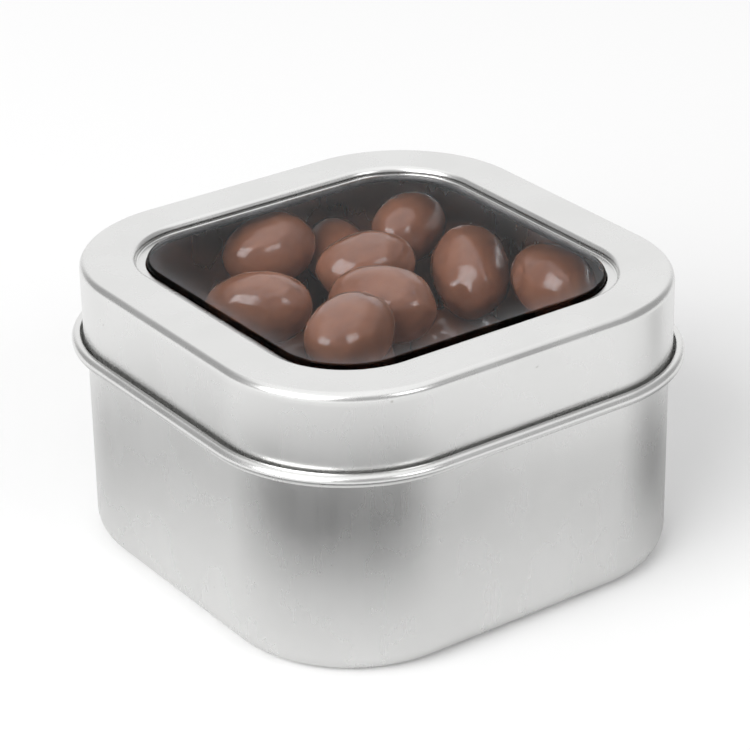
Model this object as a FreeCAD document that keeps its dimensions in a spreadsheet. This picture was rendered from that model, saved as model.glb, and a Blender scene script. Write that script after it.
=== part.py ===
"""Square slip-lid tin with a clear window in the lid, filled with chocolate-coated almonds.

The tin stands on the XY plane, centred on the Z axis, with the lid pressed home.
All lengths are in millimetres and all angles in degrees.
"""
import FreeCAD, Part
import math
import os
import random

import Sketcher

Vector = FreeCAD.Vector

doc = FreeCAD.newDocument("window_lid_tin")
sheet = doc.addObject("Spreadsheet::Sheet", "sizes")

# Driving sizes: name, value, what it measures
DRIVING_SIZES = (
    ("lid_side", 95.0, "lid across its flats, outside the skirt"),
    ("lid_corner_radius", 27.0, "plan radius of the lid's corners, outside the skirt"),
    ("overall_height", 57.0, "table to the lid's top face"),
    ("sheet_gauge", 0.25, "tinplate thickness of base and lid"),
    ("skirt_depth", 16.0, "lid's top face to the middle of its bead"),
    ("shoulder_radius", 1.6, "outer radius where the lid's top turns into the skirt"),
    ("bead_diameter", 2.5, "rolled bead on the skirt's lower edge"),
    ("bead_mouth_gap", 0.4, "slit between the bead's raw edge and the skirt"),
    ("window_rim_width", 10.6, "lid's side to the step down to the window"),
    ("window_step_radius", 1.2, "outer radius at the top of that step"),
    ("window_foot_radius", 0.3, "outer radius at the foot of that step"),
    ("window_step_straight", 0.1, "upright part of that step"),
    ("window_ledge_width", 1.8, "ledge at the foot of the step, up to the opening"),
    ("pane_thickness", 0.3, "clear plastic sheet"),
    ("pane_overlap", 2.2, "pane past the step, under the lid's rim"),
    ("pane_slip", 0.3, "opening's edge to the pane's raised middle"),
    ("pane_rise", 1.5, "raised middle of the pane above its edge"),
    ("pane_edge_radius", 0.6, "outer radius around the top of that middle"),
    ("pane_foot_radius", 0.15, "outer radius around the foot of that middle"),
    ("glue_thickness", 0.1, "adhesive between ledge and pane"),
    ("glue_inset", 0.2, "opening's edge to the adhesive"),
    ("slip_clearance", 0.4, "lid's inside to the base's outside, each side"),
    ("lid_seat_gap", 0.1, "base's rim to the lid's underside"),
    ("bottom_radius", 4.8, "outer radius between the base's wall and its bottom"),
    ("foot_width", 3.0, "flat ring that the base stands on"),
    ("panel_bend_radius", 0.2, "inner bend radius around the raised bottom panel"),
    ("panel_straight", 0.35, "upright part of the step to that panel"),
    ("rim_curl_diameter", 1.6, "inward curl on the base's rim"),
    ("rim_mouth_gap", 0.3, "slit between that curl's raw edge and the wall"),
    ("almond_length", 21.0, "coated almond, end to end"),
    ("almond_width", 14.8, "coated almond, across its thickest part"),
    ("almond_blunt_radius", 5.9, "coated almond's blunt end"),
    ("almond_tip_radius", 4.6, "coated almond's other end"),
    ("almond_gap", 0.4, "air left between almonds, and between them and the tin"),
    ("heap_cell", 0.5, "plan grid on which the almonds are poured"),
    ("cut_overrun", 1.0, "how far a cut runs past what it cuts"),
)
for row, (alias, value, meaning) in enumerate(DRIVING_SIZES, start=1):
    sheet.set(f"A{row}", alias)
    sheet.set(f"B{row}", str(value))
    sheet.set(f"C{row}", meaning)
    sheet.setAlias(f"B{row}", alias)

# Derived sizes: name, formula over the driving ones
DERIVED_SIZES = (
    ("corner_centre", "lid_side / 2 - lid_corner_radius"),
    ("lid_half", "lid_side / 2"),
    ("bead_radius", "bead_diameter / 2"),
    ("bead_centre_half", "lid_half - sheet_gauge + bead_radius"),
    ("window_half", "lid_half - window_rim_width"),
    ("window_step_depth", "window_step_radius + window_step_straight + window_foot_radius"),
    ("opening_half", "window_half - window_ledge_width"),
    ("pane_half", "window_half + pane_overlap"),
    ("pane_raised_half", "opening_half - pane_slip"),
    ("pane_inner_half", "pane_raised_half - pane_thickness"),
    ("glue_inner_half", "opening_half + glue_inset"),
    ("glue_outer_half", "window_half - window_foot_radius"),
    ("ledge_underside", "overall_height - window_step_depth - sheet_gauge"),
    ("pane_underside", "ledge_underside - glue_thickness - pane_thickness"),
    ("base_half", "lid_half - sheet_gauge - slip_clearance"),
    ("inside_half", "base_half - sheet_gauge"),
    ("rim_height", "overall_height - sheet_gauge - lid_seat_gap"),
    ("curl_radius", "rim_curl_diameter / 2"),
    ("curl_height", "rim_height - curl_radius"),
    ("curl_centre_half", "base_half - curl_radius"),
    ("panel_half", "base_half - bottom_radius - foot_width"),
    ("panel_rise", "panel_bend_radius * 2 + sheet_gauge + panel_straight"),
    ("fill_height", "pane_underside - almond_gap"),
    ("heap_level", "fill_height - almond_width"),
)
for row, (alias, formula) in enumerate(DERIVED_SIZES, start=len(DRIVING_SIZES) + 1):
    sheet.set(f"A{row}", alias)
    sheet.set(f"B{row}", "=" + formula)
    sheet.setAlias(f"B{row}", alias)
doc.recompute()


# Share of the sheet gauge within which a face or an edge counts as lying in a place
MATCH_SHARE = 0.1


def size(alias):
    """Value of one cell of the sheet."""
    return float(getattr(sheet, alias))


def cells(formula):
    """The formula with each alias of the sheet written as a reference to its cell."""
    words = formula.replace("(", "( ").replace(")", " )").split()
    return " ".join("sizes." + word if hasattr(sheet, word) else word for word in words)


def size_of(formula):
    """Value of a formula over the sheet's aliases, for the first guess of a sketch."""
    return float(sheet.evalExpression(cells(formula)))


def origin_plane(body, role):
    """One of the body's own origin planes."""
    return next(plane for plane in body.Origin.OriginFeatures if plane.Role == role)


def new_sketch(body, name, role="XY_Plane", offset="0"):
    """Empty sketch on one of the body's planes, moved along the plane's normal."""
    sketch = body.newObject("Sketcher::SketchObject", name)
    sketch.AttachmentSupport = [(origin_plane(body, role), "")]
    sketch.MapMode = "FlatFace"
    sketch.setExpression("AttachmentOffset.Base.z", cells(offset))
    return sketch


def bind(sketch, constraint, formula):
    """Add a dimension to the sketch and tie it to the sheet."""
    index = sketch.addConstraint(constraint)
    sketch.setExpression(f"Constraints[{index}]", cells(formula))


def add_rounded_square(sketch, half):
    """Square with sides at +-half, whose corner arcs all turn about the lid's corner centres."""
    reach = size(half)
    centre = size("corner_centre")
    lines = []
    arcs = []
    for turn in (0, 90, 180, 270):
        spin = FreeCAD.Rotation(Vector(0, 0, 1), turn)
        ends = [spin.multVec(Vector(reach, end, 0)) for end in (-centre, centre)]
        lines.append(sketch.addGeometry(Part.LineSegment(*ends), False))
        corner = spin.multVec(Vector(centre, centre, 0))
        circle = Part.Circle(corner, Vector(0, 0, 1), reach - centre)
        arc = Part.ArcOfCircle(circle, math.radians(turn), math.radians(turn + 90))
        arcs.append(sketch.addGeometry(arc, False))
    for line, arc, following in zip(lines, arcs, lines[1:] + lines[:1]):
        sketch.addConstraint(Sketcher.Constraint("Tangent", line, 2, arc, 1))
        sketch.addConstraint(Sketcher.Constraint("Tangent", arc, 2, following, 1))
    for arc in arcs[1:]:
        sketch.addConstraint(Sketcher.Constraint("Equal", arcs[0], arc))
    bind(sketch, Sketcher.Constraint("Radius", arcs[0], reach - centre), f"{half} - corner_centre")
    for line, direction, distance, sign in zip(
        lines,
        ("Vertical", "Horizontal", "Vertical", "Horizontal"),
        ("DistanceX", "DistanceY", "DistanceX", "DistanceY"),
        (1, 1, -1, -1),
    ):
        sketch.addConstraint(Sketcher.Constraint(direction, line))
        bind(sketch, Sketcher.Constraint(distance, -1, 1, line, 1, sign * reach), f"{sign} * {half}")


def rounded_square_sketch(body, name, half, offset="0"):
    """Sketch of one rounded square, level with the plane at that offset."""
    sketch = new_sketch(body, name, offset=offset)
    add_rounded_square(sketch, half)
    return sketch


def pad(body, sketch, name, length, downwards=False):
    """Solid of that length on the sketch."""
    feature = body.newObject("PartDesign::Pad", name)
    feature.Profile = sketch
    feature.setExpression("Length", cells(length))
    feature.Reversed = downwards
    doc.recompute()
    return feature


def pocket(body, sketch, name, length, upwards=False):
    """Cut of that length from the sketch, which has to take material away."""
    before = body.Shape.Volume
    feature = body.newObject("PartDesign::Pocket", name)
    feature.Profile = sketch
    feature.setExpression("Length", cells(length))
    feature.Reversed = upwards
    doc.recompute()
    if body.Shape.Volume >= before:
        raise RuntimeError(f"{name} cuts nothing")
    return feature


def lies_level(shape, height):
    """Whether the whole shape lies at that height, to a small share of the sheet gauge."""
    near = MATCH_SHARE * size("sheet_gauge")
    return abs(shape.BoundBox.ZMin - height) < near and abs(shape.BoundBox.ZMax - height) < near


def half_at(x, y):
    """Half side of the rounded square, about the lid's corner centres, that passes through a point."""
    centre = size("corner_centre")
    return centre + math.hypot(max(abs(x) - centre, 0), max(abs(y) - centre, 0))


def square_edges(feature, height, half):
    """Names of the feature's edges that run along one rounded square at one height."""
    names = []
    for index, edge in enumerate(feature.Shape.Edges, start=1):
        points = [edge.valueAt(end) for end in edge.ParameterRange]
        points.append(edge.valueAt(sum(edge.ParameterRange) / 2))
        off = max(abs(half_at(point.x, point.y) - half) for point in points)
        if lies_level(edge, height) and off < MATCH_SHARE * size("sheet_gauge"):
            names.append(f"Edge{index}")
    return names


def fillet(body, feature, name, height, half, radius):
    """Round over the rounded-square edge of the feature at that height and half side."""
    rounding = body.newObject("PartDesign::Fillet", name)
    rounding.Base = (feature, square_edges(feature, height, size(half)))
    rounding.setExpression("Radius", cells(radius))
    doc.recompute()
    return rounding


def hollow(body, feature, name, open_height):
    """Thin the solid to sheet gauge, left open at its flat face at that height."""
    faces = enumerate(feature.Shape.Faces, start=1)
    open_faces = [f"Face{index}" for index, face in faces if lies_level(face, open_height)]
    shell = body.newObject("PartDesign::Thickness", name)
    shell.Base = (feature, open_faces)
    shell.setExpression("Value", cells("sheet_gauge"))
    shell.Reversed = True
    doc.recompute()
    return shell


def curl(body, name, centre_half, centre_height, radius, start_side, tip_half):
    """Rolled sheet edge: an open ring of sheet gauge carried round the rounded square.

    It leaves the wall level with its own centre, on the side given by start_side (1 towards +X,
    -1 towards the middle), turns anticlockwise and stops where its outer tip reaches tip_half.
    """
    path = rounded_square_sketch(body, name + "_path", centre_half, centre_height)
    ring = new_sketch(body, name + "_section", "XZ_Plane", "corner_centre")
    outer = size(radius)
    inner = outer - size("sheet_gauge")
    middle = Vector(size(centre_half), size_of(centre_height), 0)
    start_angle = 0 if start_side > 0 else math.pi
    tip_cosine = (size_of(tip_half) - middle.x) / outer
    tip_angle = math.acos(tip_cosine) if start_side < 0 else -math.acos(tip_cosine)
    arcs = []
    for ring_radius in (outer, inner):
        circle = Part.Circle(middle, Vector(0, 0, 1), ring_radius)
        arc = Part.ArcOfCircle(circle, start_angle, tip_angle + 2 * math.pi)
        arcs.append(ring.addGeometry(arc, False))
    outer_arc, inner_arc = arcs
    ends = []
    for point in (1, 2):
        spots = [ring.getPoint(arc, point) for arc in arcs]
        line = ring.addGeometry(Part.LineSegment(*spots), False)
        ring.addConstraint(Sketcher.Constraint("Coincident", line, 1, outer_arc, point))
        ring.addConstraint(Sketcher.Constraint("Coincident", line, 2, inner_arc, point))
        ends.append(line)
    ring.addConstraint(Sketcher.Constraint("Coincident", outer_arc, 3, inner_arc, 3))
    ring.addConstraint(Sketcher.Constraint("Horizontal", ends[0]))
    ring.addConstraint(Sketcher.Constraint("PointOnObject", outer_arc, 3, ends[0]))
    ring.addConstraint(Sketcher.Constraint("PointOnObject", outer_arc, 3, ends[1]))
    bind(ring, Sketcher.Constraint("DistanceX", -1, 1, outer_arc, 3, middle.x), centre_half)
    bind(ring, Sketcher.Constraint("DistanceY", -1, 1, outer_arc, 3, middle.y), centre_height)
    bind(ring, Sketcher.Constraint("Radius", outer_arc, outer), radius)
    bind(ring, Sketcher.Constraint("Radius", inner_arc, inner), f"{radius} - sheet_gauge")
    tip = ring.getPoint(outer_arc, 2)
    bind(ring, Sketcher.Constraint("DistanceX", -1, 1, outer_arc, 2, tip.x), tip_half)
    doc.recompute()
    sweep = body.newObject("PartDesign::AdditivePipe", name)
    sweep.Profile = ring
    sweep.Spine = path
    doc.recompute()
    return sweep


def new_body(label):
    """Empty body with the sub-part's name."""
    body = doc.addObject("PartDesign::Body", label)
    body.Label = label
    return body


# Lid: a drawn shell with its top face on its own XY plane, set down at the tin's full height
lid = new_body("lid_shell")
lid_outline = rounded_square_sketch(lid, "lid_outline", "lid_half")
lid_blank = pad(lid, lid_outline, "lid_blank", "skirt_depth", downwards=True)
lid_shoulder = fillet(lid, lid_blank, "lid_shoulder", 0, "lid_half", "shoulder_radius")
step_outline = rounded_square_sketch(lid, "window_step_outline", "window_half")
step = pocket(lid, step_outline, "window_step", "window_step_depth")
step_top = fillet(lid, step, "window_step_round", 0, "window_half", "window_step_radius")
step_floor = -size("window_step_depth")
step_foot = fillet(lid, step_top, "window_foot_round", step_floor, "window_half", "window_foot_radius")
hollow(lid, step_foot, "lid_hollow", -size("skirt_depth"))
opening_outline = rounded_square_sketch(lid, "window_opening_outline", "opening_half")
pocket(lid, opening_outline, "window_opening", "window_step_depth + sheet_gauge + cut_overrun")
bead_tip = "lid_half + bead_mouth_gap"
curl(lid, "lid_bead", "bead_centre_half", "-1 * skirt_depth", "bead_radius", -1, bead_tip)
lid.setExpression("Placement.Base.z", cells("overall_height"))

# Window: a clear sheet formed with a raised middle that fills the opening
pane = new_body("window_pane")
pane_outline = rounded_square_sketch(pane, "pane_outline", "pane_half")
pad(pane, pane_outline, "pane_edge", "pane_thickness")
raised_outline = rounded_square_sketch(pane, "pane_raised_outline", "pane_raised_half")
raised = pad(pane, raised_outline, "pane_raised", "pane_thickness + pane_rise")
pane_top = size_of("pane_thickness + pane_rise")
raised_round = fillet(pane, raised, "pane_edge_round", pane_top, "pane_raised_half", "pane_edge_radius")
pane_foot = size("pane_thickness")
foot_radius = "pane_foot_radius"
foot_round = fillet(pane, raised_round, "pane_foot_round", pane_foot, "pane_raised_half", foot_radius)
inner_outline = rounded_square_sketch(pane, "pane_inner_outline", "pane_inner_half")
under = pocket(pane, inner_outline, "pane_under", "pane_rise", upwards=True)
inner_radius = "pane_edge_radius - pane_thickness"
inner_round = fillet(pane, under, "pane_inner_round", size("pane_rise"), "pane_inner_half", inner_radius)
mouth_radius = "pane_foot_radius + pane_thickness"
fillet(pane, inner_round, "pane_mouth_round", 0, "pane_inner_half", mouth_radius)
pane.setExpression("Placement.Base.z", cells("pane_underside"))

# Adhesive: a thin ring between the ledge and the edge of the pane
glue = new_body("window_glue")
glue_outline = rounded_square_sketch(glue, "glue_outline", "glue_outer_half")
add_rounded_square(glue_outline, "glue_inner_half")
pad(glue, glue_outline, "glue_ring", "glue_thickness")
glue.setExpression("Placement.Base.z", cells("pane_underside + pane_thickness"))

# Base: a drawn cup that stands on a ring around its raised bottom panel
base = new_body("base_shell")
base_outline = rounded_square_sketch(base, "base_outline", "base_half")
base_blank = pad(base, base_outline, "base_blank", "curl_height")
base_round = fillet(base, base_blank, "base_bottom_round", 0, "base_half", "bottom_radius")
panel_outline = rounded_square_sketch(base, "panel_outline", "panel_half")
panel = pocket(base, panel_outline, "panel_step", "panel_rise", upwards=True)
panel_bend = fillet(base, panel, "panel_mouth_round", 0, "panel_half", "panel_bend_radius + sheet_gauge")
panel_top = size("panel_rise")
panel_foot = fillet(base, panel_bend, "panel_foot_round", panel_top, "panel_half", "panel_bend_radius")
hollow(base, panel_foot, "base_hollow", size("curl_height"))
rim_tip = "inside_half - rim_mouth_gap"
curl(base, "base_rim", "curl_centre_half", "curl_height", "curl_radius", 1, rim_tip)

# Almonds: turned eggs, poured into the base on a plan grid
BLUNT_END_SHARE = 0.45
TIP_END_SHARE = 1 - BLUNT_END_SHARE


def add_egg_half(sketch, length, cap_radius, width, upwards):
    """Half an egg's outline: a round cap on the upright axis and a flank out to the level axis.

    Returns the flank, its point on the level axis, the cap and its point on the upright axis.
    """
    sign = 1 if upwards else -1
    cap = size_of(cap_radius)
    cap_height = size_of(length) - cap
    spare = size_of(width) / 2 - cap
    flank_offset = (cap_height ** 2 - spare ** 2) / (2 * spare)
    joint_angle = math.atan2(cap_height, flank_offset)
    arcs = []
    for centre, radius, near, far in (
        (Vector(-flank_offset, 0, 0), size_of(width) / 2 + flank_offset, 0, joint_angle),
        (Vector(0, sign * cap_height, 0), cap, joint_angle, math.pi / 2),
    ):
        angles = sorted((sign * near, sign * far))
        arc = Part.ArcOfCircle(Part.Circle(centre, Vector(0, 0, 1), radius), *angles)
        arcs.append(sketch.addGeometry(arc, False))
    flank_arc, cap_arc = arcs
    first, last = (1, 2) if upwards else (2, 1)
    pole = sign * size_of(length)
    sketch.addConstraint(Sketcher.Constraint("Tangent", flank_arc, last, cap_arc, first))
    sketch.addConstraint(Sketcher.Constraint("PointOnObject", flank_arc, 3, -1))
    sketch.addConstraint(Sketcher.Constraint("PointOnObject", cap_arc, 3, -2))
    sketch.addConstraint(Sketcher.Constraint("PointOnObject", cap_arc, last, -2))
    bind(sketch, Sketcher.Constraint("Radius", cap_arc, cap), cap_radius)
    bind(sketch, Sketcher.Constraint("DistanceY", -1, 1, cap_arc, last, pole), f"{sign} * ( {length} )")
    return flank_arc, first, cap_arc, last


def almond(label, place, size_share=1.0):
    """One coated almond, turned about its long axis, which is its own Z."""
    body = new_body(label)
    outline = new_sketch(body, label + "_outline", "XZ_Plane")
    width = f"almond_width * {size_share}"
    halves = []
    for length_share, cap, upwards in (
        (BLUNT_END_SHARE, "almond_blunt_radius", True),
        (TIP_END_SHARE, "almond_tip_radius", False),
    ):
        length = f"almond_length * {length_share} * {size_share}"
        halves.append(add_egg_half(outline, length, f"{cap} * {size_share}", width, upwards))
    (blunt, blunt_girth, blunt_cap, blunt_pole), (tip, tip_girth, tip_cap, tip_pole) = halves
    ends = [outline.getPoint(tip_cap, tip_pole), outline.getPoint(blunt_cap, blunt_pole)]
    axis = outline.addGeometry(Part.LineSegment(*ends), False)
    outline.addConstraint(Sketcher.Constraint("Coincident", axis, 1, tip_cap, tip_pole))
    outline.addConstraint(Sketcher.Constraint("Coincident", axis, 2, blunt_cap, blunt_pole))
    outline.addConstraint(Sketcher.Constraint("Coincident", blunt, blunt_girth, tip, tip_girth))
    outline.addConstraint(Sketcher.Constraint("PointOnObject", blunt, blunt_girth, -1))
    girth = Sketcher.Constraint("DistanceX", -1, 1, blunt, blunt_girth, size_of(width) / 2)
    bind(outline, girth, f"{width} / 2")
    turned = body.newObject("PartDesign::Revolution", label + "_turned")
    turned.Profile = outline
    turned.ReferenceAxis = (outline, ["V_Axis"])
    body.Placement = place
    return body


def almond_axes(yaw, tilt):
    """Directions across, through and along an almond that points to yaw and rises by tilt."""
    yaw, tilt = math.radians(yaw), math.radians(tilt)
    along = Vector(math.cos(tilt) * math.cos(yaw), math.cos(tilt) * math.sin(yaw), math.sin(tilt))
    across = Vector(-math.sin(yaw), math.cos(yaw), 0)
    return across, along.cross(across), along


CELL_DIGITS = 6
cell = size("heap_cell")
grid_reach = math.ceil((size("inside_half") + size("almond_length")) / cell)
stride = 2 * grid_reach + 1


def grid_index(i, j):
    """Place in the heap's flat list of the column i cells along X and j cells along Y."""
    return (i + grid_reach) * stride + j + grid_reach


def floor_height(x, y):
    """Height of the base's inside at a point, endless past its walls."""
    half = half_at(x, y) + size("almond_gap") / 2
    radius = size("bottom_radius") - size("sheet_gauge")
    past_flat = half - (size("inside_half") - radius)
    if past_flat >= radius:
        return math.inf
    if past_flat > 0:
        return size("sheet_gauge") + radius - math.sqrt(radius ** 2 - past_flat ** 2)
    on_panel = half < size("panel_half") + size("sheet_gauge") + size("panel_bend_radius")
    return size("sheet_gauge") + (size("panel_rise") if on_panel else 0)


def footprint(axes, size_share=1.0):
    """Columns that an almond covers, as grid steps, with its lowest and highest point in each.

    Each half counts as half an ellipsoid, and the air around the almond is added to it.
    """
    spare = size("almond_gap") / 2
    semi_width = size("almond_width") / 2 * size_share + spare
    length = size("almond_length") * size_share
    reach = math.ceil((length + spare) / cell)
    columns = []
    for i in range(-reach, reach + 1):
        for j in range(-reach, reach + 1):
            heights = []
            for length_share, sign in ((BLUNT_END_SHARE, 1), (TIP_END_SHARE, -1)):
                semis = (semi_width, semi_width, length * length_share + spare)
                square = linear = constant = 0
                for axis, semi in zip(axes, semis):
                    level = (axis.x * i + axis.y * j) * cell / semi
                    square += (axis.z / semi) ** 2
                    linear += axis.z / semi * level
                    constant += level ** 2
                inside = linear ** 2 - square * (constant - 1)
                if inside < 0:
                    continue
                for root in (-math.sqrt(inside), math.sqrt(inside)):
                    height = (root - linear) / square
                    if sign * axes[2].dot(Vector(i * cell, j * cell, height)) >= 0:
                        heights.append(height)
            if heights:
                columns.append((i * stride + j, min(heights), max(heights)))
    return columns


def resting_height(heap, columns, index):
    """Height at which an almond's middle comes to rest when it is let down on the heap.

    It is rounded in cells, so that places of equal height stay equal at every scale of the tin.
    """
    height_in_cells = max(heap[index + step] - low for step, low, high in columns) / cell
    return round(height_in_cells, CELL_DIGITS) * cell


def lay_down(heap, columns, index, height):
    """Raise the heap to the top of an almond that rests at that height."""
    for step, low, high in columns:
        heap[index + step] = max(heap[index + step], height + high)


def resting_place(i, j, height, axes):
    """Placement of an almond whose middle rests over that column, turned to those directions."""
    return FreeCAD.Placement(Vector(i * cell, j * cell, height), FreeCAD.Rotation(*axes, "ZXY"))


heap = []
for i in range(-grid_reach, grid_reach + 1):
    for j in range(-grid_reach, grid_reach + 1):
        heap.append(floor_height(i * cell, j * cell) + size("almond_gap") / 2)

# Lower almonds: each lies flat where it comes to rest lowest, until the heap is up to its level
POUR_YAWS = (10, 55, 100, 145)
POUR_STEP_CELLS = 6
POUR_SEED = 3062
pour_cells = range(-grid_reach // 2, grid_reach // 2 + 1, POUR_STEP_CELLS)
marks = []
for yaw in POUR_YAWS:
    axes = almond_axes(yaw, 0)
    marks.append((axes, footprint(axes)))
spots = [(i, j, axes, columns) for i in pour_cells for j in pour_cells for axes, columns in marks]
random.Random(POUR_SEED).shuffle(spots)
rests = [resting_height(heap, columns, grid_index(i, j)) for i, j, axes, columns in spots]
near_cells = math.ceil((size("almond_length") + size("almond_gap")) / cell)

lower_almonds = []
while min(rests) + size("almond_width") / 2 <= size("heap_level"):
    height = min(rests)
    i, j, axes, columns = spots[rests.index(height)]
    lay_down(heap, columns, grid_index(i, j), height)
    label = f"lower_almond_{len(lower_almonds) + 1}"
    lower_almonds.append(almond(label, resting_place(i, j, height, axes)))
    for index, (near_i, near_j, near_axes, near_columns) in enumerate(spots):
        if max(abs(near_i - i), abs(near_j - j)) <= near_cells:
            rests[index] = resting_height(heap, near_columns, grid_index(near_i, near_j))
lower_group = doc.addObject("Part::Compound", "lower_almonds")
lower_group.Label = "lower_almonds"
lower_group.Links = lower_almonds

# Top almonds: place in shares of the inside half, direction and rise in degrees, size share.
# Each is let down at its place, or at the nearest one that keeps it clear of the window.
TOP_ALMOND_SHARES = (
    ("almond_back_middle", 0.38, 0.82, 60, 0, 0.92),
    ("almond_back_right", 0.68, 0.69, 25, 0, 0.96),
    ("almond_back_left", 0.02, 0.79, 8, 0, 1.04),
    ("almond_right", 0.83, -0.14, -95, 0, 1.02),
    ("almond_middle", 0.30, 0.45, -12, 0, 1.0),
    ("almond_right_centre", 0.74, 0.33, 58, 20, 1.1),
    ("almond_left", -0.23, 0.47, -40, 0, 1.02),
    ("almond_centre", 0.14, 0.11, -60, 0, 1.06),
    ("almond_front", -0.18, -0.10, 20, 0, 1.04),
)
inside_cells = round(size("inside_half") / cell)
top_almonds = []
for label, x_share, y_share, yaw, tilt, size_share in TOP_ALMOND_SHARES:
    wanted_i = round(x_share * inside_cells)
    wanted_j = round(y_share * inside_cells)
    axes = almond_axes(yaw, tilt)
    columns = footprint(axes, size_share)
    crown = max(high for step, low, high in columns)
    choices = []
    for i, j in [(wanted_i, wanted_j)] + [(i, j) for i in pour_cells for j in pour_cells]:
        height = resting_height(heap, columns, grid_index(i, j))
        too_high = max(height + crown - size("fill_height"), 0)
        choices.append((too_high, math.hypot(i - wanted_i, j - wanted_j), i, j, height))
    too_high, moved, i, j, height = min(choices)
    lay_down(heap, columns, grid_index(i, j), height)
    top_almonds.append(almond(label, resting_place(i, j, height, axes), size_share))
    print(label, "rests at", round(height, 2), "with its top at", round(height + crown, 2), "moved", moved)
print(len(lower_almonds), "lower almonds")

# Recompute, test every object and write one file per sub-part
doc.recompute()
for item in doc.Objects:
    if "Invalid" in item.State or "Error" in item.State:
        raise RuntimeError(f"{item.Name} failed: {item.State}")
os.makedirs("parts", exist_ok=True)
for piece in [base, lid, pane, glue, lower_group] + top_almonds:
    shape = piece.Shape
    if shape.isNull() or not shape.isValid():
        raise RuntimeError(f"{piece.Label} has no valid shape")
    shape.exportStep(f"parts/{piece.Label}.step")
    print(piece.Label, "solids", len(shape.Solids), "volume", round(shape.Volume, 2))
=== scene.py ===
import bmesh
import bpy
import numpy as np
from mathutils import Matrix, Vector


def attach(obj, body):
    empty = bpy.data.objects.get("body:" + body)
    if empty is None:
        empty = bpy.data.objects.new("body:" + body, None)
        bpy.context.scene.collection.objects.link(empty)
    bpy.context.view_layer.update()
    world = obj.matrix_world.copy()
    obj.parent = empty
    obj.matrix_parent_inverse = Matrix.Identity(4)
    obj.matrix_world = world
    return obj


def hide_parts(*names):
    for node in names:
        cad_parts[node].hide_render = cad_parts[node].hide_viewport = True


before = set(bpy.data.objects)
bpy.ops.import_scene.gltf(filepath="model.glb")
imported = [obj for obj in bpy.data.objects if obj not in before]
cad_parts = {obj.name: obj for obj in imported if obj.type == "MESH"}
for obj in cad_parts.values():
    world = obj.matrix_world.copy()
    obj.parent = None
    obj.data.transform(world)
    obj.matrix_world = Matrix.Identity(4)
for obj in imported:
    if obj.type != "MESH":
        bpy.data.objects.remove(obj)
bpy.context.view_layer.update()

# Base: a cup drawn from one sheet of tinplate. Its bottom edge is rounded, a raised panel leaves
# a ring to stand on, and the rim is curled inwards so that no raw edge is left to touch.
gauge = 0.25
corner_centre = 20.5
base_half = 46.85
bottom_radius = 4.8
panel_half = 39.05
panel_rise = 1.0
panel_bend = 0.2
rim_height = 56.65
rim_curl_radius = 0.8
rim_mouth_half = 46.3
run_points = 18
bend_points = 13
curl_points = 49
cut_edge_points = 7
corner_points = 33
side_points = 17
merge_distance = 1e-7


def bent_line(corners, radii):
    """Line of (half side, height) points through the corners, each inner corner rounded to its radius.

    An arc's centre lies the radius to the side of both its runs; the arc starts where the run before
    it touches, and each point is that centre plus sine times the run and minus cosine times the side.
    """
    corners = np.array(corners, float)
    runs = np.diff(corners, axis=0)
    runs /= np.linalg.norm(runs, axis=1, keepdims=True)
    start = corners[0]
    stretches = []
    for corner, radius, before, after in zip(corners[1:-1], radii, runs, runs[1:]):
        turn = np.arctan2(before[0] * after[1] - before[1] * after[0], before @ after)
        side = np.sign(turn) * np.array([-before[1], before[0]])
        centre = corner - radius * np.tan(abs(turn) / 2) * before + radius * side
        angle = abs(turn) * np.linspace(0, 1, bend_points)[:, None]
        arc = centre + radius * (np.sin(angle) * before - np.cos(angle) * side)
        stretches += [np.linspace(start, arc[0], run_points, endpoint=False), arc[:-1]]
        start = arc[-1]
    return np.vstack(stretches + [np.linspace(start, corners[-1], run_points)])


def curled_edge(centre, radius, from_degrees, to_degrees):
    """Arc of (half side, height) points about a centre: radius times the cosine and sine of the angle."""
    angle = np.radians(np.linspace(from_degrees, to_degrees, curl_points))[1:, None]
    return np.array(centre) + radius * np.hstack([np.cos(angle), np.sin(angle)])


def sheet_outline(line, thickness, from_middle=False):
    """Outline of a sheet bent along the line: the line moved half the thickness to either side.

    Each cut edge is half a circle from one side to the other. A sheet that starts in the middle of
    the tin has no cut edge there, so its outline stays open.
    """
    along = np.gradient(line, axis=0)
    along /= np.linalg.norm(along, axis=1, keepdims=True)
    across = np.stack([-along[:, 1], along[:, 0]], axis=1)
    turn = np.linspace(0, np.pi, cut_edge_points)[1:-1, None]
    end = line[-1] + thickness / 2 * (np.cos(turn) * across[-1] + np.sin(turn) * along[-1])
    start = line[0] - thickness / 2 * (np.cos(turn) * across[0] + np.sin(turn) * along[0])
    sides = [line + thickness / 2 * across, end, (line - thickness / 2 * across)[::-1]]
    return np.vstack(sides if from_middle else sides + [start])


def add_surface(name, grid, close_rows, close_columns):
    """Smooth mesh over a grid of points, in millimetres: one four-sided face per cell of the grid.

    Rows and columns may close on themselves, and points that coincide, as at a pole, become one.
    """
    rows, columns = grid.shape[:2]
    row, column = np.meshgrid(
        np.arange(rows if close_rows else rows - 1),
        np.arange(columns if close_columns else columns - 1),
        indexing="ij",
    )
    next_row, next_column = (row + 1) % rows, (column + 1) % columns
    faces = np.stack(
        [
            row * columns + column,
            next_row * columns + column,
            next_row * columns + next_column,
            row * columns + next_column,
        ],
        axis=-1,
    )
    mesh = bpy.data.meshes.new(name)
    mesh.from_pydata(grid.reshape(-1, 3) / 1000, [], faces.reshape(-1, 4))
    joined = bmesh.new()
    joined.from_mesh(mesh)
    bmesh.ops.remove_doubles(joined, verts=joined.verts, dist=merge_distance)
    joined.to_mesh(mesh)
    joined.free()
    mesh.polygons.foreach_set("use_smooth", np.ones(len(mesh.polygons), bool))
    piece = bpy.data.objects.new(name, mesh)
    bpy.context.scene.collection.objects.link(piece)
    return piece


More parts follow.
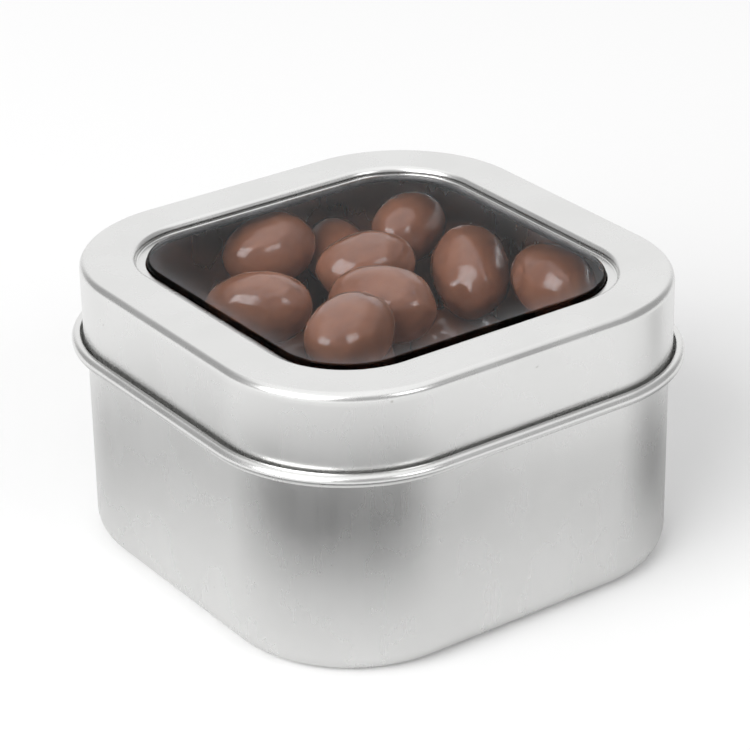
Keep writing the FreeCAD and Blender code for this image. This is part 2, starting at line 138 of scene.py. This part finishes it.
def carry_round(name, outline, close_outline):
    """Section of (half side, height) points carried round the tin's rounded square.

    Each point is a corner centre plus its half side, less the corner centre's own, along the outward
    normal. The normal turns a quarter at each corner and stays put along each side, where the corner
    centre slides to the next. Towards the middle the whole ring shrinks to a point.
    """
    quarter = np.arange(4)[:, None]
    corner_angle = np.radians(90 * (quarter + np.linspace(0, 1, corner_points)))
    side_angle = np.radians(90 * (quarter + np.ones(side_points - 2)))
    along_side = np.ones((4, 1)) * np.linspace(0, 1, side_points)[1:-1]
    slide = np.hstack([np.zeros((4, corner_points)), along_side])
    angle = np.hstack([corner_angle, side_angle])
    here = corner_centre * np.sqrt(2) * np.exp(1j * np.pi / 4 * (2 * quarter + 1))
    there = corner_centre * np.sqrt(2) * np.exp(1j * np.pi / 4 * (2 * quarter + 3))
    centre = (here + (there - here) * slide).reshape(-1, 1)
    normal = np.exp(1j * angle).reshape(-1, 1)
    half, height = outline.T
    following = np.roll(outline, -1, axis=0)
    if np.sum(half * following[:, 1] - following[:, 0] * height) < 0:
        half, height = half[::-1], height[::-1]
    least = corner_centre + (base_half - corner_centre) / 2
    plan = (centre + (np.maximum(half, least) - corner_centre) * normal) * np.minimum(half / least, 1)
    grid = np.stack([plan.real, plan.imag, np.broadcast_to(height, plan.shape)], axis=-1)
    return add_surface(name, grid, True, close_outline)


base_line = np.vstack([
    bent_line(
        [
            (0, panel_rise + gauge / 2),
            (panel_half + gauge / 2, panel_rise + gauge / 2),
            (panel_half + gauge / 2, gauge / 2),
            (base_half - gauge / 2, gauge / 2),
            (base_half - gauge / 2, rim_height - rim_curl_radius),
        ],
        [panel_bend + gauge / 2, panel_bend + gauge / 2, bottom_radius - gauge / 2],
    ),
    curled_edge(
        (base_half - rim_curl_radius, rim_height - rim_curl_radius),
        rim_curl_radius - gauge / 2,
        0,
        360 - np.degrees(np.arccos((rim_mouth_half - base_half + rim_curl_radius) / rim_curl_radius)),
    ),
])
base = carry_round("drawn_base", sheet_outline(base_line, gauge, from_middle=True), False)
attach(base, "tin")
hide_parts("base_shell")


def linear(code):
    """Linear red, green and blue, with full alpha, of an sRGB hex value."""
    share = np.array([int(code[place:place + 2], 16) for place in (1, 3, 5)]) / 255
    value = np.where(share <= 0.04045, share / 12.92, ((share + 0.055) / 1.055) ** 2.4)
    return (*value, 1.0)


def add_node(tree, kind, inputs, **settings):
    """Adds a node with its settings, and sets each input to a value or links it to a socket."""
    made = tree.nodes.new(kind)
    for name, value in settings.items():
        setattr(made, name, value)
    for name, value in inputs.items():
        if isinstance(value, bpy.types.NodeSocket):
            tree.links.new(value, made.inputs[name])
        else:
            made.inputs[name].default_value = value
    return made


def new_material(name):
    """Empty node tree of a new material, and the material itself."""
    material = bpy.data.materials.new(name)
    material.use_nodes = True
    material.node_tree.nodes.clear()
    return material, material.node_tree


# Tinplate: cold-rolled steel sheet under a thin bright layer of tin, with a satin roll finish.
# It blurs what it mirrors. Drawing leaves faint streaks up the walls, a slow waver in the sheet and
# a few small dull nicks.
mm = 0.001
streak_width = 1.4 * mm
streak_length = 30 * mm
tinplate, tree = new_material("satin_tinplate")
place = add_node(tree, "ShaderNodeTexCoord", {}).outputs["Object"]
drawn = add_node(
    tree,
    "ShaderNodeMapping",
    {"Vector": place, "Scale": (1 / streak_width, 1 / streak_width, 1 / streak_length)},
)
streaks = add_node(
    tree,
    "ShaderNodeTexNoise",
    {"Vector": drawn.outputs["Vector"], "Scale": 1.0, "Detail": 2.0},
)
clouds = add_node(tree, "ShaderNodeTexNoise", {"Vector": place, "Scale": 1 / (12 * mm), "Detail": 2.0})
waves = add_node(tree, "ShaderNodeTexNoise", {"Vector": place, "Scale": 1 / (20 * mm), "Detail": 0.0})
knocks = add_node(tree, "ShaderNodeTexNoise", {"Vector": place, "Scale": 1 / (1.6 * mm), "Detail": 1.0})
worn = add_node(
    tree,
    "ShaderNodeMix",
    {"Factor": 0.2, "A": clouds.outputs["Fac"], "B": streaks.outputs["Fac"]},
)
nick = add_node(
    tree,
    "ShaderNodeMapRange",
    {"Value": knocks.outputs["Fac"], "From Min": 0.80, "From Max": 0.84},
)
sheen = add_node(
    tree,
    "ShaderNodeMapRange",
    {
        "Value": worn.outputs["Result"],
        "From Min": 0.35,
        "From Max": 0.65,
        "To Min": 0.25,
        "To Max": 0.29,
    },
)
tone = add_node(tree, "ShaderNodeValToRGB", {"Fac": worn.outputs["Result"]})
tone.color_ramp.elements[0].position = 0.35
tone.color_ramp.elements[0].color = linear("#dfdfde")
tone.color_ramp.elements[1].position = 0.65
tone.color_ramp.elements[1].color = linear("#e3e3e2")
dulled = add_node(
    tree,
    "ShaderNodeMix",
    {"Factor": nick.outputs["Result"], "A": tone.outputs["Color"], "B": linear("#c4c3c0")},
    data_type="RGBA",
)
waver = add_node(
    tree,
    "ShaderNodeBump",
    {"Height": waves.outputs["Fac"], "Strength": 1.0, "Distance": 0.08 * mm},
)
metal = add_node(
    tree,
    "ShaderNodeBsdfPrincipled",
    {
        "Base Color": dulled.outputs["Result"],
        "Metallic": 1.0,
        "Roughness": sheen.outputs["Result"],
        "Normal": waver.outputs["Normal"],
    },
)
add_node(tree, "ShaderNodeOutputMaterial", {"Surface": metal.outputs["BSDF"]})
base.data.materials.append(tinplate)

# Almonds: roasted nuts tumbled in milk chocolate, then polished and glazed. The coat is thick and
# egg-shaped, and a little lumpy from the tumbling, and its glaze mirrors a lamp with a crisp edge.
blunt_end_share = 0.45
round_points = 64
length_points = 49
wave_count = 9
wave_spread = 1.9
middle_swell = 0.97
swell_reach = 0.028
swell_softness = 1.6
chocolate, tree = new_material("polished_milk_chocolate")
place = add_node(tree, "ShaderNodeTexCoord", {}).outputs["Object"]
mottle = add_node(tree, "ShaderNodeTexNoise", {"Vector": place, "Scale": 1 / (6 * mm), "Detail": 3.0})
lumps = add_node(tree, "ShaderNodeTexNoise", {"Vector": place, "Scale": 1 / (5 * mm), "Detail": 1.0})
pits = add_node(tree, "ShaderNodeTexNoise", {"Vector": place, "Scale": 1 / (1.4 * mm), "Detail": 1.0})
shade = add_node(tree, "ShaderNodeValToRGB", {"Fac": mottle.outputs["Fac"]})
shade.color_ramp.elements[0].position = 0.3
shade.color_ramp.elements[0].color = linear("#8b5943")
shade.color_ramp.elements[1].position = 0.7
shade.color_ramp.elements[1].color = linear("#9e6950")
gloss = add_node(
    tree,
    "ShaderNodeMapRange",
    {
        "Value": mottle.outputs["Fac"],
        "From Min": 0.3,
        "From Max": 0.7,
        "To Min": 0.11,
        "To Max": 0.17,
    },
)
lumpy = add_node(
    tree,
    "ShaderNodeBump",
    {"Height": lumps.outputs["Fac"], "Strength": 1.0, "Distance": 0.6 * mm},
)
pitted = add_node(
    tree,
    "ShaderNodeBump",
    {
        "Height": pits.outputs["Fac"],
        "Strength": 1.0,
        "Distance": 0.005 * mm,
        "Normal": lumpy.outputs["Normal"],
    },
)
coat = add_node(
    tree,
    "ShaderNodeBsdfPrincipled",
    {
        "Base Color": shade.outputs["Color"],
        "Roughness": gloss.outputs["Result"],
        "Normal": pitted.outputs["Normal"],
        "IOR": 1.5,
        "Coat Weight": 0.35,
        "Coat Roughness": 0.05,
    },
)
add_node(tree, "ShaderNodeOutputMaterial", {"Surface": coat.outputs["BSDF"]})


def coated_almond(name, seed):
    """Egg that lies where the solid of that name does, with a lumpy coat.

    The solid's long axis is the widest spread of its faces, weighted by area. Along it the egg is two
    half ellipses that meet at the girth, each point drawn in by 0 to 6 % with a sum of slow cosines.
    """
    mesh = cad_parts[name].data
    mesh.calc_loop_triangles()
    spots = np.empty(3 * len(mesh.vertices), np.float32)
    mesh.vertices.foreach_get("co", spots)
    spots = spots.reshape(-1, 3).astype(float) * 1000
    corners = np.empty(3 * len(mesh.loop_triangles), np.int32)
    mesh.loop_triangles.foreach_get("vertices", corners)
    first, second, third = spots[corners.reshape(-1, 3)].transpose(1, 0, 2)
    area = np.linalg.norm(np.cross(second - first, third - first), axis=1)[:, None]
    middle = (first + second + third) / 3
    centroid = (area * middle).sum(axis=0) / area.sum()
    spread = (area * (middle - centroid)).T @ (middle - centroid)
    axis = np.linalg.eigh(spread)[1][:, 2]
    reach = (spots - centroid) @ axis
    if reach.max() > -reach.min():
        axis, reach = -axis, -reach
    length = np.ptp(reach)
    width = 2 * np.linalg.norm(spots - centroid - reach[:, None] * axis, axis=1).max()
    girth = centroid + (reach.max() - blunt_end_share * length) * axis
    across = np.cross(axis, (0, 0, 1.0))
    across /= np.linalg.norm(across)
    frame_axes = np.stack([across, np.cross(axis, across), axis])
    around = np.linspace(0, 2 * np.pi, round_points, endpoint=False)[:, None]
    down = np.linspace(0, np.pi, length_points)[None, :]
    ways = np.sin(down) * np.cos(around), np.sin(down) * np.sin(around), np.cos(down)
    ways = np.stack(np.broadcast_arrays(*ways), axis=-1)
    chance = np.random.default_rng(seed)
    directions = chance.normal(0, wave_spread, (3, wave_count))
    waves = np.cos(ways @ directions + chance.uniform(0, 2 * np.pi, wave_count)).sum(axis=-1, keepdims=True)
    swell = middle_swell + swell_reach * np.tanh(waves / swell_softness)
    ends = np.where(ways[..., 2:] > 0, blunt_end_share, 1 - blunt_end_share) * length
    reaches = np.concatenate([np.full(ends.shape, width / 2)] * 2 + [ends], axis=-1)
    piece = add_surface(name + "_coated", girth + swell * (ways * reaches) @ frame_axes, True, False)
    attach(piece, "tin")
    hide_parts(name)
    piece.data.materials.append(chocolate)


for seed, name in enumerate(sorted(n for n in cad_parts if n.startswith("almond_"))):
    coated_almond(name, seed)
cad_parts["lower_almonds"].data.materials.clear()
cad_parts["lower_almonds"].data.materials.append(chocolate)

# Lid: a shallow cap drawn from the same sheet. Its top steps down to a ledge round the window, and
# the lower edge of its skirt is rolled outwards into a bead, which stiffens it and gives a grip.
lid_half = 47.5
lid_height = 57.0
skirt_depth = 16.0
shoulder_radius = 1.6
bead_radius = 1.25
bead_mouth_half = 48.2
window_half = 36.9
opening_half = 35.1
step_depth = 1.6
step_radius = 1.2
foot_radius = 0.3
bead_half = lid_half - gauge + bead_radius
bead_height = lid_height - skirt_depth
lid_line = np.vstack([
    bent_line(
        [
            (opening_half, lid_height - step_depth - gauge / 2),
            (window_half + gauge / 2, lid_height - step_depth - gauge / 2),
            (window_half + gauge / 2, lid_height - gauge / 2),
            (lid_half - gauge / 2, lid_height - gauge / 2),
            (lid_half - gauge / 2, bead_height),
        ],
        [foot_radius + gauge / 2, step_radius - gauge / 2, shoulder_radius - gauge / 2],
    ),
    curled_edge(
        (bead_half, bead_height),
        bead_radius - gauge / 2,
        180,
        360 + np.degrees(np.arccos((bead_mouth_half - bead_half) / bead_radius)),
    ),
])
lid = carry_round("drawn_lid", sheet_outline(lid_line, gauge), True)
lid.data.materials.append(tinplate)
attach(lid, "lid")
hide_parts("lid_shell")

# Window: a clear plastic sheet whose edge is glued under the ledge. Its middle is formed upwards to
# fill the opening, and it is smooth and a little wavy, as a thin sheet is.
pane_half = 39.1
pane_raised_half = 34.8
pane_thickness = 0.3
pane_edge_middle = 54.9
pane_rise = 1.5
pane_edge_radius = 0.6
pane_foot_radius = 0.15
haze_reach = 1.8
haze_overrun = 0.2
bend_fade = 0.3
pane_line = bent_line(
    [
        (0, pane_edge_middle + pane_rise),
        (pane_raised_half - pane_thickness / 2, pane_edge_middle + pane_rise),
        (pane_raised_half - pane_thickness / 2, pane_edge_middle),
        (pane_half - pane_thickness / 2, pane_edge_middle),
    ],
    [pane_edge_radius - pane_thickness / 2, pane_foot_radius + pane_thickness / 2],
)
pane = carry_round("window_sheet", sheet_outline(pane_line, pane_thickness, from_middle=True), False)
spots = np.empty(3 * len(pane.data.vertices), np.float32)
pane.data.vertices.foreach_get("co", spots)
past = np.maximum(np.abs(spots.reshape(-1, 3)[:, :2]) * 1000 - corner_centre, 0)
inside = pane_raised_half - pane_edge_radius - corner_centre - np.linalg.norm(past, axis=1)
# Painted pale veil near the raised edge, standing in for the reflection seen there.
haze = pane.data.attributes.new("painted_edge_veil", "FLOAT", "POINT")
milky = np.where(inside < -haze_overrun, 0, np.exp(-np.maximum(inside, 0) / haze_reach))
haze.data.foreach_set("value", milky)
# Share of the painted near-black shade on the raised edge, fading in over the bend.
bend = pane.data.attributes.new("painted_edge_shade", "FLOAT", "POINT")
on_edge = inside > -pane_edge_radius - pane_foot_radius
bend.data.foreach_set("value", np.where(on_edge, np.clip(-inside / bend_fade, 0, 1), 0))

# Clear plastic sheet: smooth enough to see through. A faint milky veil is painted near the raised edge for
# the reflection seen there. A near-black painted shade with faint streaks sits on the raised edge itself,
# for the darkness seen along the bent sheet. It mirrors very little here, so its index is set below the
# plastic's own.
clear, tree = new_material("clear_plastic_sheet")
place = add_node(tree, "ShaderNodeTexCoord", {}).outputs["Object"]
sag = add_node(tree, "ShaderNodeTexNoise", {"Vector": place, "Scale": 1 / (30 * mm), "Detail": 1.0})
wavy = add_node(
    tree,
    "ShaderNodeBump",
    {"Height": sag.outputs["Fac"], "Strength": 1.0, "Distance": 0.1 * mm},
)
# Painted pale veil: the sheet lets a little less through near its raised edge.
painted_veil = add_node(tree, "ShaderNodeAttribute", {}, attribute_name="painted_edge_veil")
clearness = add_node(
    tree,
    "ShaderNodeMapRange",
    {"Value": painted_veil.outputs["Fac"], "To Min": 1.0, "To Max": 0.96},
)
# Painted near-black shade on the raised edge, with faint streaks in it.
bent = add_node(tree, "ShaderNodeAttribute", {}, attribute_name="painted_edge_shade")
ripples = add_node(tree, "ShaderNodeTexNoise", {"Vector": place, "Scale": 1 / (8 * mm), "Detail": 2.0})
darkness = add_node(
    tree,
    "ShaderNodeMapRange",
    {
        "Value": ripples.outputs["Fac"],
        "From Min": 0.4,
        "From Max": 0.6,
        "To Min": 0.9,
        "To Max": 1.0,
    },
)
painted_edge_darkening = add_node(
    tree,
    "ShaderNodeMath",
    {0: bent.outputs["Fac"], 1: darkness.outputs["Result"]},
    operation="MULTIPLY",
)
tint = add_node(
    tree,
    "ShaderNodeMix",
    {"Factor": painted_edge_darkening.outputs[0], "A": linear("#f5f8fb"), "B": linear("#2e211c")},
    data_type="RGBA",
)
sheet = add_node(
    tree,
    "ShaderNodeBsdfPrincipled",
    {
        "Base Color": tint.outputs["Result"],
        "Roughness": 0.03,
        "IOR": 1.07,
        "Transmission Weight": clearness.outputs["Result"],
        "Normal": wavy.outputs["Normal"],
    },
)
add_node(tree, "ShaderNodeOutputMaterial", {"Surface": sheet.outputs["BSDF"]})
pane.data.materials.append(clear)
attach(pane, "lid")
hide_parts("window_pane")

# Adhesive: a thin line of clear glue, laid round the ledge from below and dried, which holds the
# window sheet by its edge. It is pale and slightly glossy, with a skin that varies from spot to spot.
adhesive, tree = new_material("dried_adhesive")
place = add_node(tree, "ShaderNodeTexCoord", {}).outputs["Object"]
film = add_node(tree, "ShaderNodeTexNoise", {"Vector": place, "Scale": 1 / (2 * mm), "Detail": 2.0})
skin = add_node(
    tree,
    "ShaderNodeMapRange",
    {"Value": film.outputs["Fac"], "To Min": 0.35, "To Max": 0.6},
)
glue = add_node(
    tree,
    "ShaderNodeBsdfPrincipled",
    {"Base Color": linear("#d9d6cc"), "Roughness": skin.outputs["Result"], "IOR": 1.47},
)
add_node(tree, "ShaderNodeOutputMaterial", {"Surface": glue.outputs["BSDF"]})
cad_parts["window_glue"].data.materials.clear()
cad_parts["window_glue"].data.materials.append(adhesive)

# Floor: a plain white table top under the tin, large enough that its edge never shows. It is matt,
# and keeps the tin's soft shadow. Its half side, like the lamps and the camera below, is in metres.
floor_half = 6.0
floor_mesh = bpy.data.meshes.new("floor")
floor_corners = [(floor_half * x, floor_half * y, 0) for x, y in ((-1, -1), (1, -1), (1, 1), (-1, 1))]
floor_mesh.from_pydata(floor_corners, [], [(0, 1, 2, 3)])
floor = bpy.data.objects.new("floor", floor_mesh)
bpy.context.scene.collection.objects.link(floor)
table_top, tree = new_material("white_table_top")
lit = add_node(tree, "ShaderNodeBsdfDiffuse", {"Color": (0.97, 0.97, 0.97, 1.0)})
add_node(tree, "ShaderNodeOutputMaterial", {"Surface": lit.outputs["BSDF"]})
floor.data.materials.append(table_top)

# Light: a white studio all round, a wide soft lamp overhead, and two soft lamps, a large one to the left
# of the camera and a smaller one to its right, which draw the bright spots on the chocolate.
world = bpy.data.worlds.new("white_studio")
bpy.context.scene.world = world
world.use_nodes = True
tree = world.node_tree
tree.nodes.clear()
ray = add_node(tree, "ShaderNodeLightPath", {})
mirrored = add_node(
    tree,
    "ShaderNodeMath",
    {0: ray.outputs["Is Camera Ray"], 1: ray.outputs["Is Glossy Ray"]},
    operation="MAXIMUM",
)
shown = add_node(
    tree,
    "ShaderNodeMath",
    {0: mirrored.outputs[0], 1: ray.outputs["Is Transmission Ray"]},
    operation="MAXIMUM",
)
strength = add_node(
    tree,
    "ShaderNodeMapRange",
    {"Value": shown.outputs[0], "To Min": 0.57, "To Max": 1.0},
)
sky = add_node(
    tree,
    "ShaderNodeBackground",
    {"Color": (1, 1, 1, 1), "Strength": strength.outputs["Result"]},
)
add_node(tree, "ShaderNodeOutputWorld", {"Surface": sky.outputs["Background"]})


def add_lamp(name, width, height, power, place, aim):
    """Rectangular area lamp of that size and power at a place, pointed at the aim."""
    data = bpy.data.lights.new(name, "AREA")
    data.shape = "RECTANGLE"
    data.size = width
    data.size_y = height
    data.energy = power
    lamp = bpy.data.objects.new(name, data)
    lamp.location = place
    lamp.rotation_euler = (Vector(aim) - Vector(place)).to_track_quat("-Z", "Y").to_euler()
    bpy.context.scene.collection.objects.link(lamp)


tin_middle = (0, 0, 0.05)
add_lamp("overhead_softbox", width=3.0, height=3.0, power=4.5, place=(0, 0.1, 2.0), aim=(0, 0.1, 0))
add_lamp("left_softbox", width=2.5, height=2.3, power=74, place=(-2.46, -0.58, 1.65), aim=tin_middle)
add_lamp("right_softbox", width=1.0, height=1.0, power=10, place=(0.52, -2.46, 1.65), aim=tin_middle)

# Dark cards that paint dark reflections on the bright metal, as a studio's flags would: one on the table,
# and one that curves round the room and is open behind the tin. They fade at their edges, cast no shadow
# and light nothing, and show only in what mirrors them.
azimuth = np.radians(-35.30)
painted_reflection_card, tree = new_material("painted_reflection_card")
cover = add_node(tree, "ShaderNodeAttribute", {}, attribute_name="cover")
painted_dark = add_node(tree, "ShaderNodeBsdfDiffuse", {"Color": linear("#3a3a3a")})
bare = add_node(tree, "ShaderNodeBsdfTransparent", {})
card = add_node(
    tree,
    "ShaderNodeMixShader",
    {0: cover.outputs["Fac"], 1: bare.outputs["BSDF"], 2: painted_dark.outputs["BSDF"]},
)
add_node(tree, "ShaderNodeOutputMaterial", {"Surface": card.outputs["Shader"]})
towards = np.array([np.sin(azimuth), -np.cos(azimuth)])
sideways = np.array([np.cos(azimuth), np.sin(azimuth)])


def add_card(name, grid, cover):
    """Card over a grid of points, in millimetres, seen only in reflections; the cover is the share of what
    lies behind it that it hides there.
    """
    made = add_surface(name, grid, False, False)
    share = made.data.attributes.new("cover", "FLOAT", "POINT")
    share.data.foreach_set("value", np.clip(cover, 0, 1).ravel())
    made.data.materials.append(painted_reflection_card)
    made.visible_camera = False
    made.visible_diffuse = False
    made.visible_shadow = False


# The table card paints shadows on the table that only mirrors show. It is greyest in a crescent round the
# near corner, for a dark band in front of the tin. It also has a faint ring all round the walls for the
# tin's own shade on the table, two patches at the right for the shadow that the left lamp casts, and a
# fainter patch of painted shade behind at the left. Its sizes are in millimetres.
table_card_half = 220
table_card_points = 111
table_card_height = 1.0
ring_cover = 0.14
ring_reach = 66
ring_fade = 20
crescent_cover = 1.25
crescent_radius = 98
crescent_inner_fade = 36
crescent_outer_fade = 12
crescent_left_degrees = 88
crescent_right_degrees = 62
places = np.linspace(-table_card_half, table_card_half, table_card_points)
across, along = np.meshgrid(places, places, indexing="ij")
from_wall = np.hypot(*np.maximum(np.abs([across, along]) - corner_centre, 0)) + corner_centre - base_half
ring = ring_cover * np.clip((ring_reach - from_wall) / ring_fade, 0, 1)
near = np.stack([across + corner_centre, along + corner_centre], axis=-1)
radius = np.linalg.norm(near, axis=-1)
turn = np.arctan2(near @ sideways, near @ towards)
fade = np.where(radius < crescent_radius, crescent_inner_fade, crescent_outer_fade)
half_turn = np.radians(np.where(turn < 0, crescent_left_degrees, crescent_right_degrees))
crescent = crescent_cover * np.exp(-(((radius - crescent_radius) / fade) ** 2))
crescent *= np.exp(-((np.abs(turn) / half_turn) ** 3))


def soft_patch(most, x, y, width):
    """Round patch on the table: the most it covers, times a bell curve of that width about its middle."""
    return most * np.exp(-(((across - x) / width) ** 2) - ((along - y) / width) ** 2)


right_patch = soft_patch(most=0.65, x=80, y=-53, width=34)
far_right_patch = soft_patch(most=0.4, x=142, y=-66, width=28)
left_patch = soft_patch(most=0.3, x=-76, y=73, width=28)
patch = np.maximum.reduce([right_patch, left_patch, far_right_patch])
# Cover of the painted shadows: ring, crescent and patches together.
cover = 1 - (1 - ring) * (1 - np.minimum(crescent, 1)) * (1 - patch)
level = np.full(across.shape, table_card_height)
add_card("table_card", np.stack([across, along, level], axis=-1), cover)

# The standing card is an upright sheet on an arc about the tin, with its turn counted from the camera. It
# paints the dark reflection of a dim room into the metal, the glaze and the clear sheet. It is even, and
# fades towards its two ends and its top. Its sizes are in millimetres, and the turn at which its ends are
# gone and the stretch over which they fade are in radians.
standing_radius = 5000
standing_foot = 250
standing_top = 7080
standing_top_fade = 2100
standing_half_degrees = 150
standing_cover = 0.6
end_turn = 2.65
end_fade = 0.35
turn_points = 100
height_points = 60
turns = np.radians(np.linspace(-standing_half_degrees, standing_half_degrees, turn_points))
heights = np.linspace(standing_foot, standing_top, height_points)
turn, height = np.meshgrid(turns, heights, indexing="ij")
cover = standing_cover * np.clip((end_turn - np.abs(turn)) / end_fade, 0, 1)
cover *= np.clip((standing_top - height) / standing_top_fade, 0, 1)
arc = standing_radius * (np.cos(turn)[..., None] * towards + np.sin(turn)[..., None] * sideways)
add_card("standing_card", np.concatenate([arc, height[..., None]], axis=-1), cover)

# Camera: a long lens, about half a metre away, that looks down at the near corner. It is turned aside by
# under a millimetre at the tin, and rolled by a degree.
elevation = np.radians(26.50)
roll = np.radians(1.0)
pivot = np.array([-0.00096, 0.00068, 0.03292])
distance = 0.5608
aside = 0.00090
upwards = 0.00014
level = np.cos(elevation)
back = np.array([np.sin(azimuth) * level, -np.cos(azimuth) * level, np.sin(elevation)])
right = np.array([np.cos(azimuth), np.sin(azimuth), 0])
above = np.cross(back, right)
eye = pivot + distance * back
aim = pivot + aside * right + upwards * above
back = (eye - aim) / np.linalg.norm(eye - aim)
right = np.cross(above, back) / np.linalg.norm(np.cross(above, back))
above = np.cross(back, right)
rolled_right = np.cos(roll) * right - np.sin(roll) * above
rolled_above = np.sin(roll) * right + np.cos(roll) * above
turned = np.eye(4)
turned[:3] = np.column_stack([rolled_right, rolled_above, back, eye])
camera_data = bpy.data.cameras.new("camera")
camera_data.sensor_width = 36
camera_data.lens = 141.4
camera = bpy.data.objects.new("camera", camera_data)
camera.matrix_world = Matrix(turned.tolist())
bpy.context.scene.collection.objects.link(camera)
bpy.context.scene.camera = camera
bpy.context.scene.view_settings.view_transform = "Standard"
